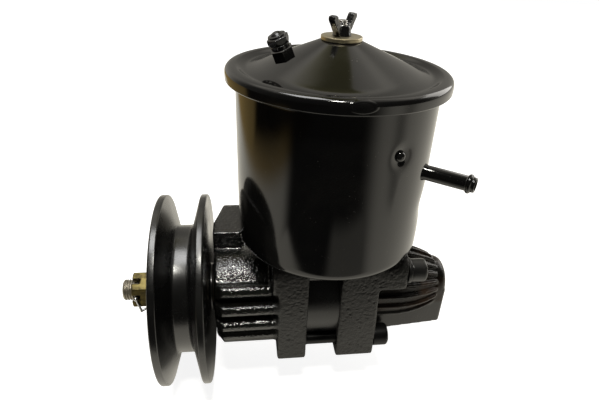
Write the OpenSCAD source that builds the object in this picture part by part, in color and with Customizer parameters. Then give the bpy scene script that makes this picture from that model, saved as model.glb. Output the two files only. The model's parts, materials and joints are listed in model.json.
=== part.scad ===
// Belt-driven power steering pump with its own oil reservoir.
// X runs along the shaft towards the rear, Z is up, and the origin lies on the
// foot plane, in the middle of the four foot holes and under the reservoir axis.

/* [Shaft line] */
// Height of the shaft axis over the foot plane
axis_h = 44; // [43:0.5:46]
// Diameter of the shaft in the front bearing
shaft_d = 25; // [24:0.5:26]
// Diameter of the shaft under the pulley
seat_d = 20; // [19:0.5:21]
// Diameter of the thread at the front tip of the shaft
thread_d = 16.5; // [14:0.5:17]
// Diameter of the shaft in the rear bush
journal_d = 18; // [16:0.5:19]

/* [Castings] */
// Half width of the two flanges
flange_y = 43; // [42.5:0.5:46]
// Thickness of the front flange
front_flange_t = 22.8; // [21:0.2:26]
// Thickness of the rear flange
rear_flange_t = 31; // [28:0.5:33]
// Length of the barrel between the front flange and the pulley
barrel_l = 47.6; // [46:0.2:52]
// Radius of the barrel under its fins
barrel_r = 32; // [31:0.5:34]
// Radius over the barrel fins
barrel_fin_r = 45; // [40:0.5:46]
// Largest radius of the domed rear end
dome_r = 29; // [27:0.5:31]
// Length of the dome with the part inside the rear flange
dome_l = 69; // [67:1:73]
// How far the dome fins stand proud
dome_fin_h = 3; // [2:0.25:4]

/* [Rotor ring] */
// Radius of the ring between the castings
ring_r = 41; // [39.5:0.25:41.25]
// Width of the ring along the shaft
ring_w = 24.3; // [20:0.1:26]
// Distance between the axes of the two rotors
rotor_e = 2.8; // [2.4:0.1:3]
// Radius of the outer rotor
rotor_r = 30; // [29.5:0.25:31]

/* [Clamp screws] */
// Distance of the clamp screws to either side of the shaft
screw_y = 33.5; // [33:0.25:34.5]
// Half the height between the upper and the lower clamp screws
screw_z = 32.2; // [31.5:0.1:33]
// Thread diameter of the clamp screws
screw_d = 12; // [10:0.5:12]
// Length of the upper screw bosses behind the rear flange
boss_l = 19.3; // [16:0.1:21]

/* [Pulley] */
// Outer diameter of the pulley
pulley_d = 150; // [144:1:154]
// Width of the pulley over both rims
pulley_w = 36.5; // [34:0.5:38]
// Thickness of each rim at the edge
rim_t = 5.2; // [4:0.1:6]
// Depth of the belt groove
groove_h = 24.3; // [22:0.1:28]
// Width of the bottom of the belt groove
root_w = 12.5; // [10:0.5:15]
// Gap between the pulley and the barrel
pulley_gap = 3.8; // [3:0.1:5]

/* [Reservoir] */
// Outer radius of the reservoir can
can_r = 67.5; // [66:0.25:69]
// Height of the reservoir can up to its lip
can_h = 120; // [112:1:128]
// Wall thickness of the can and the lid
sheet_t = 1.5; // [1.2:0.1:1.8]
// Height of the cone on the lid
cone_h = 17.5; // [14:0.5:20]
// Outer diameter of the return pipe
pipe_d = 10; // [8:0.5:11]
// How far the return pipe stands out from the can
pipe_l = 34; // [30:0.5:40]
// Height of the return pipe over the bottom of the can
pipe_h = 69.4; // [60:0.2:80]
// Direction of the return pipe in plan
pipe_a = -37.6; // [-50:0.2:-25]

/* [Fits] */
// Radial play of the parts that turn or slide
run_c = 0.05; // [0.03:0.01:0.08]
// Play between parts that only pass each other
pass_c = 0.5; // [0.4:0.05:0.7]

/* [Hidden] */
$fn = 64;
eps = 0.01;

// Faces along the shaft, from the rear flange to the tip
ring_x0 = -17.6;
ring_x1 = ring_x0 + ring_w;
flange_x0 = ring_x0 - front_flange_t;
flange_x1 = ring_x1 + rear_flange_t;
barrel_x0 = flange_x0 - barrel_l;
pulley_x1 = barrel_x0 - pulley_gap;
pulley_x0 = pulley_x1 - pulley_w;
hub_x0 = pulley_x0 - 3;
hub_r = seat_d / 2 + 9;
hub_gap = 1.2;
hub_x1 = barrel_x0 - hub_gap;
washer_t = 3;
washer_r = thread_d / 2 + 7;
nut_h = 17;
nut_x0 = hub_x0 - washer_t - nut_h;
nut_af = 26.5;
nut_a = -7;
slot_h = 6;
slot_w = 4.5;
pin_r = 1.6;
leg_r = 0.9;
pin_dx = 3.2;
tip_x = nut_x0 - 8.2;

// Front bearing, seal and their seats
race_w = 15;
bearing_x0 = barrel_x0 + 4;
bearing_r = 26;
bearing_pitch = 19.2;
ball_r = 4;
ball_count = 9;
race_t = 3.6;
seal_r = 20;
seal_w = 9;
seal_x0 = bearing_x0 + race_w + 3;
clip_t = 1.6;

// Shaft in the rear bush
bush_r = journal_d / 2 + 3;
bush_l = 20;
shaft_end_x = ring_x1 + bush_l + 4;

// Rotor set: the outer rotor has one lobe more than the inner one
lobes = 7;
lobe_pitch = rotor_r - 4;
lobe_r = 7.5;
rotor_side = run_c;
mesh_c = 0.12;

// Height of the castings under the reservoir
gasket_t = 1;
seat_z = axis_h + 50;
can_z0 = seat_z + gasket_t;
lip_z = can_z0 + can_h;
lip_r = can_r + 4;

// Clamp screws
screw_dz = 2;
shank_d = screw_d * 0.86;
head_d = screw_d * 1.5;
head_h = screw_d;
spring_washer_t = 2.8;
boss_x = flange_x1 + boss_l;
arm_w = 21;
arm_z = axis_h + 21.5;
thread_depth = 18;

// Draft of the rear flange, and the shoulder of the front flange
flange_draft = 2.4;
shoulder_t = 4.4;
shoulder_z = axis_h + 20.5;
foot_round = 2.5;
seat_round = 14;

// Arcs of the dome, which starts inside the rear flange
dome_x0 = flange_x1 - 4;
dome_start = 21;
dome_arc = 75;
nose_r = 19.5;
nose_edge = 7;
nose_l = 9.5;

// Flow valve in the rear casting
valve_r = 7;
valve_dz = -23;
valve_x0 = flange_x1 + 6;
skirt_l = 64.6;
skirt_x1 = flange_x1 + skirt_l;
skirt_z = axis_h - 33.4;
spool_l = 20;
spool_x0 = valve_x0 + 2;
plug_l = 10;
plug_head_r = valve_r + 1.8;
plug_head_h = 3.6;
plug_washer_t = 1.5;
plug_seat_x = skirt_x1 - plug_head_h - plug_washer_t - 0.4;
plug_x0 = plug_seat_x - plug_l;
port_x = flange_x1 + 34;
port_y = 36;
port_r = 7.25;

// Fins of the barrel, spread evenly to either side of straight down
fin_a = 121.6;
fin_count = 13;

// Feet
foot_x = 25;
foot_y = 19;
foot_hole_r = 4.25;
foot_hole_l = 13;

// Pivot lug beside the barrel
lug_x0 = barrel_x0 - 0.8;
lug_l = 22;
lug_y = 50;
lug_dz = 34;
lug_r = 12;
lug_bore_r = 6;
lug_face = 8;

// Lid and what stands on it
lid_gasket_t = 2;
lid_seat_z = lip_z + lid_gasket_t;
skirt_gap = 0.6;
skirt_t = 2;
lid_skirt_r = lip_r + skirt_gap + skirt_t;
valley_r = 61;
cone_r = 55;
top_r = 13;
cone_z0 = lid_seat_z + sheet_t + 1.5;
top_z = cone_z0 + cone_h;
stud_d = 6;
lid_washer_r = 13.3;
lid_washer_t = 2.6;
wing_z = top_z + lid_washer_t;
wing_hub_r = 6.2;
wing_hub_h = 6.2;
wing_t = 4.4;
wing_a = 48;
stud_z1 = wing_z + 9.3;

// Breather on the slope of the lid
breather_a = 194.8;
breather_r = 37.7;
cone_slope = atan(cone_h / (cone_r - top_r));
breather_z = top_z - (breather_r - top_r) * tan(cone_slope);

// Filter and its fixing inside the can
plate_t = 5;
plate_z = can_z0 + sheet_t;
bolt_x = 29;
bolt_y = 27;
bolt_l = 15;
tap_l = 8;
bolt_af = 13;
bolt_head_h = 5.3;
inlet_x = 15;
filter_r = 26;
filter_h = 60;
filter_z = plate_z + plate_t;
filter_spring_l = 18;

// Places children drawn along Z on the shaft axis, starting at the given X
module on_shaft(x = 0) {
  translate([x, 0, axis_h])
    rotate([0, 90, 0])
      children();
}

// Plain rod along the shaft axis from one X to another
module rod(x0, x1, r) {
  on_shaft(x0)
    cylinder(h = x1 - x0, r = r);
}

// Ring along the shaft axis
module tube(x0, x1, r_out, r_in) {
  difference() {
    rod(x0, x1, r_out);
    rod(x0 - 1, x1 + 1, r_in);
  }
}

// Rectangle with round corners, drawn as exact circles and squares
module round_rect(x0, y0, x1, y1, r) {
  translate([x0 + r, y0])
    square([x1 - x0 - 2 * r, y1 - y0]);
  translate([x0, y0 + r])
    square([x1 - x0, y1 - y0 - 2 * r]);
  for (x = [x0 + r, x1 - r])
    for (y = [y0 + r, y1 - r])
      translate([x, y])
        circle(r);
}

// Turns an outline drawn in Y and Z into a slab along X
module slab_x(x0, x1) {
  translate([x0, 0, 0])
    rotate([90, 0, 90])
      linear_extrude(x1 - x0)
        children();
}

// The four clamp screw places around the shaft
module at_screws(upper = true, lower = true) {
  for (side = [-1, 1]) {
    if (upper)
      translate([0, side * screw_y, axis_h + screw_dz + screw_z])
        rotate([0, 90, 0])
          children();
    if (lower)
      translate([0, side * screw_y, axis_h + screw_dz - screw_z])
        rotate([0, 90, 0])
          children();
  }
}

// Hexagonal prism with its flats the given distance apart
module hex(flats, h) {
  cylinder(h = h, d = flats / cos(30), $fn = 6);
}

// Round wire wound into a spring along Z, with closed ends
function spring_point(i, per, n, r, len, wire) =
  let (a = 360 * i / per, t = i / n)
  [r * cos(a), r * sin(a), wire + (len - 2 * wire) * t];
module coil_spring(r, wire, turns, len) {
  per = 14;
  sides = 6;
  n = turns * per;
  pts = [for (i = [0 : n])
    for (k = [0 : sides - 1])
      let (p = spring_point(i, per, n, r, len, wire), a = 360 * i / per, b = 360 * k / sides)
      p + wire * [cos(b) * cos(a), cos(b) * sin(a), sin(b)]];
  sidefaces = [for (i = [0 : n - 1])
    for (k = [0 : sides - 1])
      let (k2 = (k + 1) % sides)
      [i * sides + k, i * sides + k2, (i + 1) * sides + k2, (i + 1) * sides + k]];
  first = [for (k = [sides - 1 : -1 : 0]) k];
  last = [for (k = [0 : sides - 1]) n * sides + k];
  polyhedron(pts, concat(sidefaces, [first], [last]));
}

// Outline of both flanges: feet below, reservoir seat on top
module flange_outline() {
  difference() {
    union() {
      round_rect(-flange_y, 0, flange_y, axis_h + 10, foot_round);
      round_rect(-flange_y, axis_h - 20, flange_y, seat_z, seat_round);
    }
    translate([-9, -1])
      square([18, 5]);
  }
}

// Outline of the barrel with its fins, which narrow towards a bevelled crest
module barrel_outline() {
  circle(barrel_r);
  for (i = [0 : fin_count - 1])
    rotate(fin_a * (2 * i / (fin_count - 1) - 1))
      polygon([[barrel_r - 4, -5.4], [barrel_fin_r - 3, -4.4], [barrel_fin_r - 1, -3.3], [barrel_fin_r, -1.2],
        [barrel_fin_r, 1.2], [barrel_fin_r - 1, 3.3], [barrel_fin_r - 3, 4.4], [barrel_r - 4, 5.4]]);
}

module foot_holes(x) {
  for (y = [-foot_y, foot_y])
    translate([x, y, -1])
      cylinder(h = foot_hole_l + 1, r = foot_hole_r, $fn = 32);
}

module pivot_lug() {
  difference() {
    slab_x(lug_x0, lug_x0 + lug_l) {
      translate([8, axis_h + 12])
        square([lug_y - 8, lug_dz + lug_r - 12]);
      translate([lug_y, axis_h + lug_dz])
        circle(lug_r);
    }
    translate([0, 0, axis_h])
      linear_extrude(100)
        polygon([[lug_x0 - 9, 24], [lug_x0, 24], [lug_x0 + 7, 53], [lug_x0 + 7, 80], [lug_x0 - 9, 80]]);
    slab_x(lug_x0 - 1, lug_x0 + lug_l + 1)
      translate([barrel_r + 2, axis_h])
        square([60, lug_dz - lug_r - 1]);
  }
}

// Front casting: finned barrel, flange with feet, and the pivot lug
module front_housing() {
  color("#2b2c2e")
    difference() {
      union() {
        difference() {
          on_shaft(barrel_x0 + 1.2)
            linear_extrude(barrel_l)
              barrel_outline();
          on_shaft(barrel_x0)
            rotate_extrude()
              polygon([[barrel_fin_r - 6.5, 0], [barrel_fin_r - 5.5, 1.8], [barrel_fin_r - 3, 4.2],
                [barrel_fin_r + 1, 6.5], [barrel_fin_r + 1, 0]]);
        }
        rod(barrel_x0, barrel_x0 + 3, barrel_r - 1.5);
        on_shaft(flange_x0 - 5)
          cylinder(h = 6, r1 = barrel_r - 1, r2 = barrel_fin_r - 1);
        slab_x(flange_x0, ring_x0)
          flange_outline();
        slab_x(flange_x0 - shoulder_t, flange_x0 + 1)
          intersection() {
            flange_outline();
            round_rect(-flange_y, shoulder_z, flange_y, seat_z + 20, 4);
          }
        pivot_lug();
      }
      rod(barrel_x0 - 1, bearing_x0 + race_w, bearing_r);
      rod(barrel_x0 + 1.6, bearing_x0, bearing_r + 1.2);
      rod(seal_x0, seal_x0 + seal_w, seal_r);
      rod(bearing_x0, ring_x0 + 1, shaft_d / 2 + 2);
      translate([flange_x0 + 4, 0, 0])
        at_screws()
          cylinder(h = front_flange_t, d = screw_d, $fn = 32);
      foot_holes(-foot_x);
      reservoir_taps(-bolt_x);
      translate([lug_x0 - 1, lug_y, axis_h + lug_dz])
        rotate([0, 90, 0])
          cylinder(h = lug_l + 2, r = lug_bore_r, $fn = 48);
      translate([lug_x0 - 1, lug_y, axis_h + lug_dz])
        rotate([0, 90, 0])
          cylinder(h = lug_face + 1, r = lug_bore_r + 3.5);
    }
}

module reservoir_taps(x) {
  for (y = [-bolt_y, bolt_y])
    translate([x, y, seat_z - tap_l])
      cylinder(h = tap_l + 1, r = 4, $fn = 32);
}

// Smooth ring between the castings: its bore is off the shaft axis, and the lower
// screws pass through flutes in its outside
module rotor_ring() {
  color("#3a3a3a")
    difference() {
      rod(ring_x0, ring_x1, ring_r);
      translate([0, rotor_e, 0])
        rod(ring_x0 - 1, ring_x1 + 1, rotor_r + run_c);
      for (x = [ring_x0, ring_x1])
        tube(x - 1.2, x + 1.2, ring_r - 3.6, ring_r - 6);
      translate([ring_x0 - 1, 0, 0])
        at_screws(upper = false)
          cylinder(h = ring_w + 2, d = screw_d + 2 * pass_c, $fn = 32);
    }
}

// Face seals in the two ends of the ring
module ring_seals() {
  color("#151515") {
    tube(ring_x0, ring_x0 + 1.2, ring_r - 3.6, ring_r - 6);
    tube(ring_x1 - 1.2, ring_x1, ring_r - 3.6, ring_r - 6);
  }
}

// Half section of the dome, grown by the given amount: a straight start and a long arc
module dome_section(grow) {
  intersection() {
    square([100, dome_l - nose_l]);
    union() {
      square([dome_r + grow, dome_start]);
      translate([dome_r - dome_arc, dome_start])
        circle(dome_arc + grow);
    }
  }
}

// Half section of the blunt nose with its round edge
module nose_section() {
  square([nose_r, dome_l - nose_edge]);
  square([nose_r - nose_edge, dome_l]);
  translate([nose_r - nose_edge, dome_l - nose_edge])
    circle(nose_edge);
}

// Fin that follows the dome and stops short of its pole
module dome_fin() {
  rotate([90, 0, 0])
    translate([0, 0, -1.5])
      linear_extrude(3)
        difference() {
          dome_section(dome_fin_h);
          dome_section(-2);
          square([11, 100]);
        }
}

// Flat-bottomed valve chest under the dome, tapering to the rear
module valve_chest() {
  translate([0, 0, skirt_z])
    linear_extrude(axis_h - skirt_z)
      polygon([[dome_x0, -25.3], [skirt_x1 - 2, -18.8], [skirt_x1, -17], [skirt_x1, 17], [skirt_x1 - 2, 18.8],
        [dome_x0, 25.3]]);
  translate([port_x, 0, axis_h + valve_dz])
    rotate([-90, 0, 0])
      cylinder(h = port_y, r = port_r + 5);
}

// Oil passages: suction from the reservoir above, pressure below
module port_kidney(a0) {
  on_shaft(ring_x1 - 1)
    rotate(a0)
      rotate_extrude(angle = 110)
        translate([17.5, 0])
          square([5.5, 8]);
}

// Rear casting: flange with feet, screw bosses, finned dome and valve chest
module rear_cover() {
  color("#2b2927")
    difference() {
      union() {
        difference() {
          slab_x(ring_x1, flange_x1)
            flange_outline();
          translate([flange_x1, -flange_y - 1, axis_h - 20])
            rotate([0, -flange_draft, 0])
              cube([20, 2 * flange_y + 2, seat_z]);
        }
        slab_x(dome_x0, boss_x)
          intersection() {
            flange_outline();
            for (x = [-flange_y, flange_y - arm_w])
              round_rect(x, arm_z, x + arm_w, seat_z + 20, 4);
          }
        on_shaft(dome_x0)
          rotate_extrude() {
            dome_section(0);
            nose_section();
          }
        on_shaft(dome_x0)
          for (a = [-171 : 18 : 171])
            if (abs(a) > 50)
              rotate(a)
                dome_fin();
        valve_chest();
      }
      rod(ring_x1 - 1, ring_x1 + bush_l, bush_r);
      rod(ring_x1, ring_x1 + bush_l + 6, journal_d / 2 + 1);
      port_kidney(125);
      port_kidney(-55);
      translate([inlet_x, 0, axis_h + 20])
        cylinder(h = 60, r = 6, $fn = 32);
      translate([0, 0, valve_dz])
        rod(ring_x1 + 3, valve_x0 + 1, 4);
      translate([0, 0, valve_dz])
        rod(valve_x0, skirt_x1 + 1, valve_r);
      translate([0, 0, valve_dz])
        rod(plug_seat_x, skirt_x1 + dome_l, plug_head_r + pass_c);
      translate([port_x, 0, axis_h + valve_dz])
        rotate([-90, 0, 0])
          cylinder(h = port_y + 1, r = 4, $fn = 32);
      translate([port_x, port_y - 16, axis_h + valve_dz])
        rotate([-90, 0, 0])
          cylinder(h = 17, r = port_r, $fn = 48);
      translate([ring_x1 - 1, 0, 0])
        at_screws()
          cylinder(h = rear_flange_t + boss_l + 4, d = screw_d + 2 * pass_c, $fn = 32);
      translate([flange_x1, 0, 0])
        at_screws(upper = false)
          cylinder(h = head_h + 3, d = head_d + 3, $fn = 48);
      foot_holes(foot_x);
      reservoir_taps(bolt_x);
    }
}

// Socket-head screw along Z: slim shank with a threaded end below zero, head above
module cap_screw(len) {
  difference() {
    union() {
      translate([0, 0, -len])
        cylinder(h = len, d = shank_d, $fn = 32);
      translate([0, 0, -len])
        cylinder(h = thread_depth, d = screw_d, $fn = 32);
      cylinder(h = head_h - 1.2, d = head_d);
      translate([0, 0, head_h - 1.2])
        cylinder(h = 1.2, d1 = head_d, d2 = head_d - 2);
    }
    translate([0, 0, head_h / 2])
      hex(screw_d * 0.83, head_h);
  }
}

module clamp_screws() {
  color("#1c1c1d") {
    translate([boss_x + spring_washer_t, 0, 0])
      at_screws(lower = false)
        cap_screw(boss_x + spring_washer_t - ring_x0 + thread_depth);
    translate([flange_x1, 0, 0])
      at_screws(upper = false)
        cap_screw(flange_x1 - ring_x0 + thread_depth);
  }
}

module spring_washer() {
  difference() {
    cylinder(h = spring_washer_t, d = head_d + 1.8);
    translate([0, 0, -1])
      cylinder(h = spring_washer_t + 2, d = screw_d + 2 * pass_c, $fn = 32);
  }
}

module spring_washers() {
  color("#252526")
    translate([boss_x, 0, 0])
      at_screws(lower = false)
        spring_washer();
}

// Ball track shared by both races
module ball_track() {
  on_shaft(bearing_x0 + race_w / 2)
    rotate_extrude()
      translate([bearing_pitch, 0])
        circle(ball_r + run_c, $fn = 32);
}

module bearing_outer_race() {
  color("#b9bcc0")
    difference() {
      tube(bearing_x0, bearing_x0 + race_w, bearing_r, bearing_r - race_t);
      ball_track();
    }
}

module bearing_inner_race() {
  color("#b9bcc0")
    difference() {
      tube(bearing_x0, bearing_x0 + race_w, bearing_pitch - 3.1, shaft_d / 2);
      ball_track();
    }
}

module at_balls() {
  on_shaft(bearing_x0 + race_w / 2)
    for (i = [0 : ball_count - 1])
      rotate(i * 360 / ball_count)
        translate([bearing_pitch, 0, 0])
          children();
}

module bearing_balls() {
  color("#d5d8dc")
    at_balls()
      sphere(ball_r, $fn = 24);
}

module bearing_cage() {
  color("#a58a4a")
    difference() {
      tube(bearing_x0 + 2.5, bearing_x0 + race_w - 2.5, bearing_pitch + 1.2, bearing_pitch - 1.2);
      at_balls()
        rotate([0, 90, 0])
          cylinder(h = 8, r = ball_r + run_c, center = true, $fn = 32);
    }
}

// Ring that holds the bearing in the barrel
module housing_snap_ring() {
  color("#8c8f93")
    difference() {
      tube(bearing_x0 - clip_t, bearing_x0, bearing_r + 1.2, bearing_r - 3);
      translate([bearing_x0 - clip_t - 1, -3, axis_h - bearing_r - 4])
        cube([clip_t + 2, 6, 10]);
    }
}

// Ring in a groove of the shaft behind the bearing
module shaft_snap_ring() {
  color("#8c8f93")
    difference() {
      tube(bearing_x0 + race_w, bearing_x0 + race_w + clip_t, shaft_d / 2 + 1.6, shaft_d / 2 - 0.8);
      translate([bearing_x0 + race_w - 1, -2, axis_h])
        cube([clip_t + 2, 4, shaft_d]);
    }
}

// Lip seal that runs on the shaft
module oil_seal() {
  color("#1a1a1a")
    on_shaft(seal_x0)
      rotate_extrude()
        polygon([[shaft_d / 2 + run_c, 5], [shaft_d / 2 + 3, 0], [seal_r, 0], [seal_r, seal_w],
          [seal_r - 3, seal_w], [seal_r - 3, 3], [shaft_d / 2 + 3, 3], [shaft_d / 2 + run_c, 7]]);
}

module rear_bush() {
  color("#a5823a")
    tube(ring_x1, ring_x1 + bush_l, bush_r, journal_d / 2 + run_c);
}

key_w = 6;
pulley_key_x0 = pulley_x0 + 6;
pulley_key_l = 24;
rotor_seat_d = 20;
rotor_key_w = 5;

module pulley_key_shape(grow) {
  translate([pulley_key_x0, -key_w / 2, axis_h + seat_d / 2 - 3])
    cube([pulley_key_l, key_w, 5.5 + grow]);
}

module rotor_key_shape(grow) {
  translate([ring_x0 + 3, -rotor_key_w / 2, axis_h + rotor_seat_d / 2 - 2.5])
    cube([ring_w - 6, rotor_key_w, 4.2 + grow]);
}

// Stepped shaft: thread, pulley seat, bearing seat, rotor seat, rear journal
module drive_shaft() {
  color("#9a9da1")
    difference() {
      union() {
        on_shaft(tip_x)
          cylinder(h = 1.5 + eps, r1 = thread_d / 2 - 1.5, r2 = thread_d / 2);
        rod(tip_x + 1.5, hub_x0 + 3, thread_d / 2);
        rod(hub_x0 + 3 - eps, hub_x1, seat_d / 2);
        rod(hub_x1 - eps, ring_x0 - 2, shaft_d / 2);
        rod(ring_x0 - 2 - eps, ring_x1, rotor_seat_d / 2);
        rod(ring_x1 - eps, shaft_end_x, journal_d / 2);
      }
      tube(bearing_x0 + race_w, bearing_x0 + race_w + clip_t, shaft_d, shaft_d / 2 - 0.8);
      pulley_key_shape(0);
      rotor_key_shape(0);
      on_shaft(nut_x0 + pin_dx)
        rotate(nut_a - 90)
          rotate([0, 90, 0])
            cylinder(h = thread_d + 2, r = pin_r, center = true, $fn = 24);
    }
}

module pulley_key() {
  color("#7d8084")
    pulley_key_shape(0);
}

module rotor_key() {
  color("#7d8084")
    rotor_key_shape(0);
}

// Half section of the pulley: two rims, sloped groove walls, hub proud at both ends
module pulley_section() {
  half = pulley_w / 2;
  rim_r = pulley_d / 2;
  root_r = rim_r - groove_h;
  hub_l = hub_x1 - pulley_x0;
  polygon([[seat_d / 2, hub_x0 - pulley_x0], [hub_r, hub_x0 - pulley_x0], [hub_r, 2.5], [root_r - 6, 2.5],
    [rim_r - 14, 0], [rim_r - 1.2, 0], [rim_r, 1.2], [rim_r, rim_t - 0.8], [rim_r - 0.8, rim_t],
    [root_r, half - root_w / 2], [root_r, half + root_w / 2], [rim_r - 0.8, pulley_w - rim_t],
    [rim_r, pulley_w - rim_t + 0.8], [rim_r, pulley_w - 1.2], [rim_r - 1.2, pulley_w], [hub_r, pulley_w],
    [hub_r, hub_l], [seat_d / 2, hub_l]]);
}

// V-belt pulley, keyed on the front of the shaft
module pulley() {
  color("#1d1e20")
    difference() {
      on_shaft(pulley_x0)
        rotate_extrude($fn = 96)
          pulley_section();
      pulley_key_shape(0);
    }
}

module pulley_washer() {
  color("#b39a4e")
    tube(hub_x0 - washer_t, hub_x0, washer_r, thread_d / 2);
}

// Slotted hexagon nut that holds the pulley
module castle_nut() {
  color("#b39a4e")
    on_shaft(nut_x0)
      difference() {
        intersection() {
          rotate(nut_a)
            hex(nut_af, nut_h);
          translate([0, 0, -1])
            cylinder(h = nut_h + 2, r1 = nut_af * 0.5 - 0.6, r2 = nut_af * 0.5 + 24);
          translate([0, 0, -1])
            cylinder(h = nut_h + 2, r1 = nut_af * 0.5 + 24, r2 = nut_af * 0.5 - 0.6);
        }
        translate([0, 0, -1])
          cylinder(h = nut_h + 2, d = thread_d);
        for (a = [30, 90, 150])
          rotate(nut_a + a)
            translate([-nut_af, -slot_w / 2, -1])
              cube([2 * nut_af, slot_w, slot_h + 1]);
      }
}

// Round wire between two points
module wire(p, q, r) {
  d = q - p;
  translate(p)
    rotate([0, acos(d[2] / norm(d)), atan2(d[1], d[0])])
      cylinder(h = norm(d), r = r, $fn = 24);
}

// Split pin through two nut slots: an eye behind, a leg bent down and under the nut in front
module cotter_pin() {
  elbow = [nut_af / 2 + 1.1, 0, 0];
  knee = [nut_af / 2 + 1.1, nut_af * 0.42, 3.2];
  hook = [nut_af / 2 - 2, nut_af * 0.38, 7.4];
  color("#a9acb0")
    on_shaft(nut_x0 + pin_dx)
      rotate(nut_a - 90) {
        wire([-nut_af / 2 - 1, 0, 0], elbow, pin_r);
        translate(elbow)
          sphere(pin_r + 0.15, $fn = 24);
        wire(elbow, knee, leg_r);
        translate(knee)
          sphere(leg_r + 0.15, $fn = 24);
        wire(knee, hook, leg_r);
        translate([-nut_af / 2 - 2.6, 0, 0])
          rotate_extrude($fn = 32)
            translate([2.4, 0])
              circle(1.3, $fn = 16);
      }
}

// Path of an outer lobe centre around the inner rotor, and its outward normal
function lobe_path(a) =
  lobe_pitch * [cos(a), sin(a)] + rotor_e * [cos(lobes * a), sin(lobes * a)];
function lobe_tangent(a) =
  lobe_pitch * [-sin(a), cos(a)] + rotor_e * lobes * [-sin(lobes * a), cos(lobes * a)];
function tip_angle(i) =
  let (u = (i % 24) / 12 - 1)
  (floor(i / 24) + 0.5 + 0.5 * sign(u) * u * u) * 360 / (lobes - 1);
function inner_point(a) =
  let (t = lobe_tangent(a))
  lobe_path(a) - (lobe_r + mesh_c) * [t[1], -t[0]] / norm(t);

module inner_rotor() {
  color("#aeb1b5")
    difference() {
      on_shaft(ring_x0 + rotor_side)
        rotate(90)
          linear_extrude(ring_w - 2 * rotor_side)
            polygon([for (i = [0 : 24 * (lobes - 1) - 1]) inner_point(tip_angle(i))]);
      rod(ring_x0 - 1, ring_x1 + 1, rotor_seat_d / 2);
      rotor_key_shape(0);
    }
}

module outer_rotor() {
  color("#9fa2a6")
    translate([0, rotor_e, 0])
      on_shaft(ring_x0 + rotor_side)
        rotate(90)
          linear_extrude(ring_w - 2 * rotor_side)
            difference() {
              circle(rotor_r);
              difference() {
                circle(lobe_pitch + 2 * rotor_e - lobe_r + mesh_c);
                for (i = [0 : lobes - 1])
                  rotate(i * 360 / lobes)
                    translate([lobe_pitch, 0])
                      circle(lobe_r, $fn = 48);
              }
            }
}

// Sliding spool with two lands
module flow_valve_spool() {
  color("#b4b7bb")
    translate([0, 0, valve_dz]) {
      rod(spool_x0, spool_x0 + 7, valve_r - run_c);
      rod(spool_x0 + 7 - eps, spool_x0 + spool_l - 7 + eps, valve_r - 2.5);
      tube(spool_x0 + spool_l - 7, spool_x0 + spool_l, valve_r - run_c, valve_r - 2.4);
      rod(spool_x0 + spool_l - 7, spool_x0 + spool_l - 3, valve_r - 2);
    }
}

module flow_valve_spring() {
  color("#8f9296")
    translate([0, 0, valve_dz])
      on_shaft(spool_x0 + spool_l + 0.2)
        coil_spring(4.6, 0.8, 7, plug_x0 - spool_x0 - spool_l - 0.4);
}

module flow_valve_plug() {
  color("#2a2a2b")
    translate([0, 0, valve_dz]) {
      rod(plug_x0, plug_seat_x + plug_washer_t + eps, valve_r);
      difference() {
        rod(plug_seat_x + plug_washer_t, plug_seat_x + plug_washer_t + plug_head_h, plug_head_r);
        on_shaft(plug_seat_x + plug_washer_t + 0.6)
          hex(8, plug_head_h);
      }
    }
}

module plug_washer() {
  color("#a5673a")
    translate([0, 0, valve_dz])
      tube(plug_seat_x, plug_seat_x + plug_washer_t, plug_head_r, valve_r);
}

// Holes that the gasket, the can and the filter plate share
module bottom_holes(z0, h) {
  for (x = [-bolt_x, bolt_x])
    for (y = [-bolt_y, bolt_y])
      translate([x, y, z0])
        cylinder(h = h, r = 4, $fn = 32);
  translate([inlet_x, 0, z0])
    cylinder(h = h, r = 6, $fn = 32);
}

module reservoir_gasket() {
  color("#3b342b")
    difference() {
      translate([0, 0, seat_z])
        linear_extrude(gasket_t)
          round_rect(flange_x0 + 1, -flange_y + 6, flange_x1 - 1, flange_y - 6, 6);
      bottom_holes(seat_z - 1, gasket_t + 2);
    }
}

// Drawn sheet can with a turned-out lip
module can_section() {
  t = sheet_t;
  difference() {
    union() {
      square([can_r - 7, 12]);
      translate([0, 7])
        square([can_r, can_h - 14]);
      translate([can_r - 7, 7])
        circle(7, $fn = 48);
      polygon([[can_r - 3, can_h - 9], [can_r, can_h - 9], [lip_r - 1, can_h - 3.5], [lip_r, can_h - 2.5],
        [lip_r, can_h], [can_r - 3, can_h]]);
    }
    translate([-1, t])
      square([can_r - 7 + 1, 12]);
    translate([-1, 7])
      square([can_r - t + 1, can_h]);
    translate([can_r - 7, 7])
      circle(7 - t, $fn = 48);
    translate([-200, -1])
      square([200, 300]);
  }
}

plug_a = -63.3;
plug_h = 88;

// Points children outwards from the can wall, Z along the radius
module on_can(a, h) {
  translate([0, 0, can_z0 + h])
    rotate(a)
      rotate([0, 90, 0])
        children();
}

module reservoir_can() {
  color("#141516")
    difference() {
      union() {
        translate([0, 0, can_z0])
          rotate_extrude($fn = 96)
            can_section();
        on_can(plug_a, plug_h)
          translate([0, 0, can_r - 4.5])
            cylinder(h = 3.8, r = 7, $fn = 32);
      }
      bottom_holes(can_z0 - 1, sheet_t + 2);
      on_can(pipe_a, pipe_h)
        cylinder(h = can_r + 10, d = pipe_d, $fn = 32);
      on_can(plug_a, plug_h)
        translate([0, 0, can_r - 1.8])
          cylinder(h = 4, r1 = 3.4, r2 = 7.4, $fn = 32);
      on_can(plug_a, plug_h)
        translate([0, 0, can_r - 8])
          cylinder(h = 10, r = 1.6, $fn = 24);
    }
}

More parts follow.
